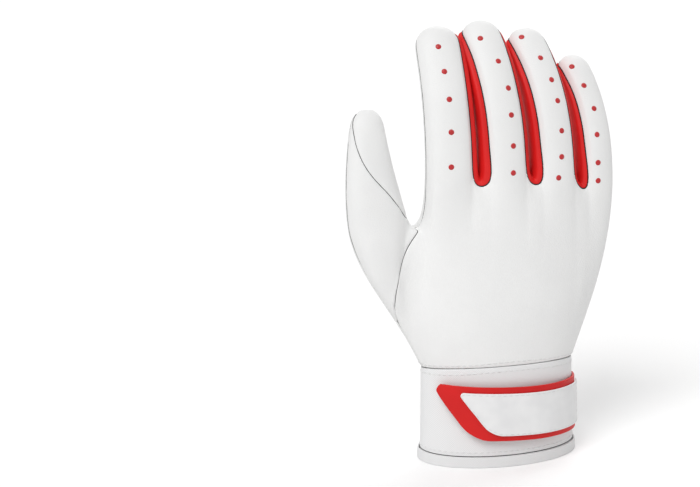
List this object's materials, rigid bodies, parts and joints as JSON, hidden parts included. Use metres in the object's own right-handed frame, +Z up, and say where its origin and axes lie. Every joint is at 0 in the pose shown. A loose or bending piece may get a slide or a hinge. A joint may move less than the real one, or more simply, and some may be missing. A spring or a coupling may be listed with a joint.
{
  "type": "batting glove",
  "caption": "Right-hand batting glove with hollow fingers and thumb sewn from leather panels, a dotted grip patch on the palm heel and a hook-and-loop wrist strap.",
  "frame": {"origin": "centre of the wrist opening, in the plane of the hem's lower edge", "axes": "+Z up the fingers, +Y out of the palm, -Y out of the back of the hand, -X to the thumb side"},
  "size_m": [0.1421, 0.0591, 0.2229],
  "materials": {
    "white_leather": "matte grained",
    "red_leather": "matte grained",
    "grip_leather": "matte, printed with raised black dots",
    "cuff_fabric": "fine knit over foam",
    "hem_tape": "woven tape",
    "elastic_tape": "ribbed woven",
    "loop_fabric": "brushed loop pile",
    "strap_rubber": "satin",
    "strap_fabric": "smooth knit",
    "hook_plastic": "hook field"
  },
  "bodies": {
    "hand": {"back_panel": "white_leather", "palm_panel": "white_leather", "thenar_panel": "white_leather", "pinky_ring_crotch": "red_leather", "ring_middle_crotch": "red_leather", "middle_index_crotch": "red_leather", "grip_patch": "grip_leather", "cuff_band": "cuff_fabric", "hem_binding": "hem_tape", "wrist_elastic": "elastic_tape", "loop_patch": "loop_fabric"},
    "pinky": {"pinky_back": "white_leather", "pinky_front": "white_leather", "pinky_fourchette_near": "red_leather"},
    "ring": {"ring_fourchette_away": "red_leather", "ring_front": "white_leather", "ring_fourchette_near": "red_leather", "ring_back": "white_leather"},
    "middle": {"middle_fourchette_away": "red_leather", "middle_front": "white_leather", "middle_fourchette_near": "red_leather", "middle_back": "white_leather"},
    "index": {"index_fourchette_away": "red_leather", "index_front": "white_leather", "index_back": "white_leather"},
    "thumb": {"thumb_front": "white_leather", "thumb_back": "white_leather"},
    "strap": {"strap": "strap_rubber", "strap_face": "strap_fabric", "hook_patch": "hook_plastic"}
  },
  "joints": [
    {"name": "pinky_flex", "type": "hinge", "parent": "hand", "child": "pinky", "pos_m": [0.0547, 0.01333, 0.14], "axis": [-1, 0, 0], "range_deg": [0, 65]},
    {"name": "ring_flex", "type": "hinge", "parent": "hand", "child": "ring", "pos_m": [0.0299, 0.00895, 0.1455], "axis": [-1, 0, 0], "range_deg": [0, 65]},
    {"name": "middle_flex", "type": "hinge", "parent": "hand", "child": "middle", "pos_m": [0.003, 0.00769, 0.148], "axis": [-1, 0, 0], "range_deg": [0, 65]},
    {"name": "index_flex", "type": "hinge", "parent": "hand", "child": "index", "pos_m": [-0.0249, 0.01019, 0.147], "axis": [-1, 0, 0], "range_deg": [0, 65]},
    {"name": "thumb_flex", "type": "hinge", "parent": "hand", "child": "thumb", "pos_m": [-0.061, 0.01949, 0.124], "axis": [-0.9848, 0, -0.1736], "range_deg": [0, 45]},
    {"name": "strap_peel", "type": "hinge", "parent": "hand", "child": "strap", "pos_m": [0.04279, 0, 0.0115], "axis": [0, 0, 1], "range_deg": [0, 150]}
  ]
}
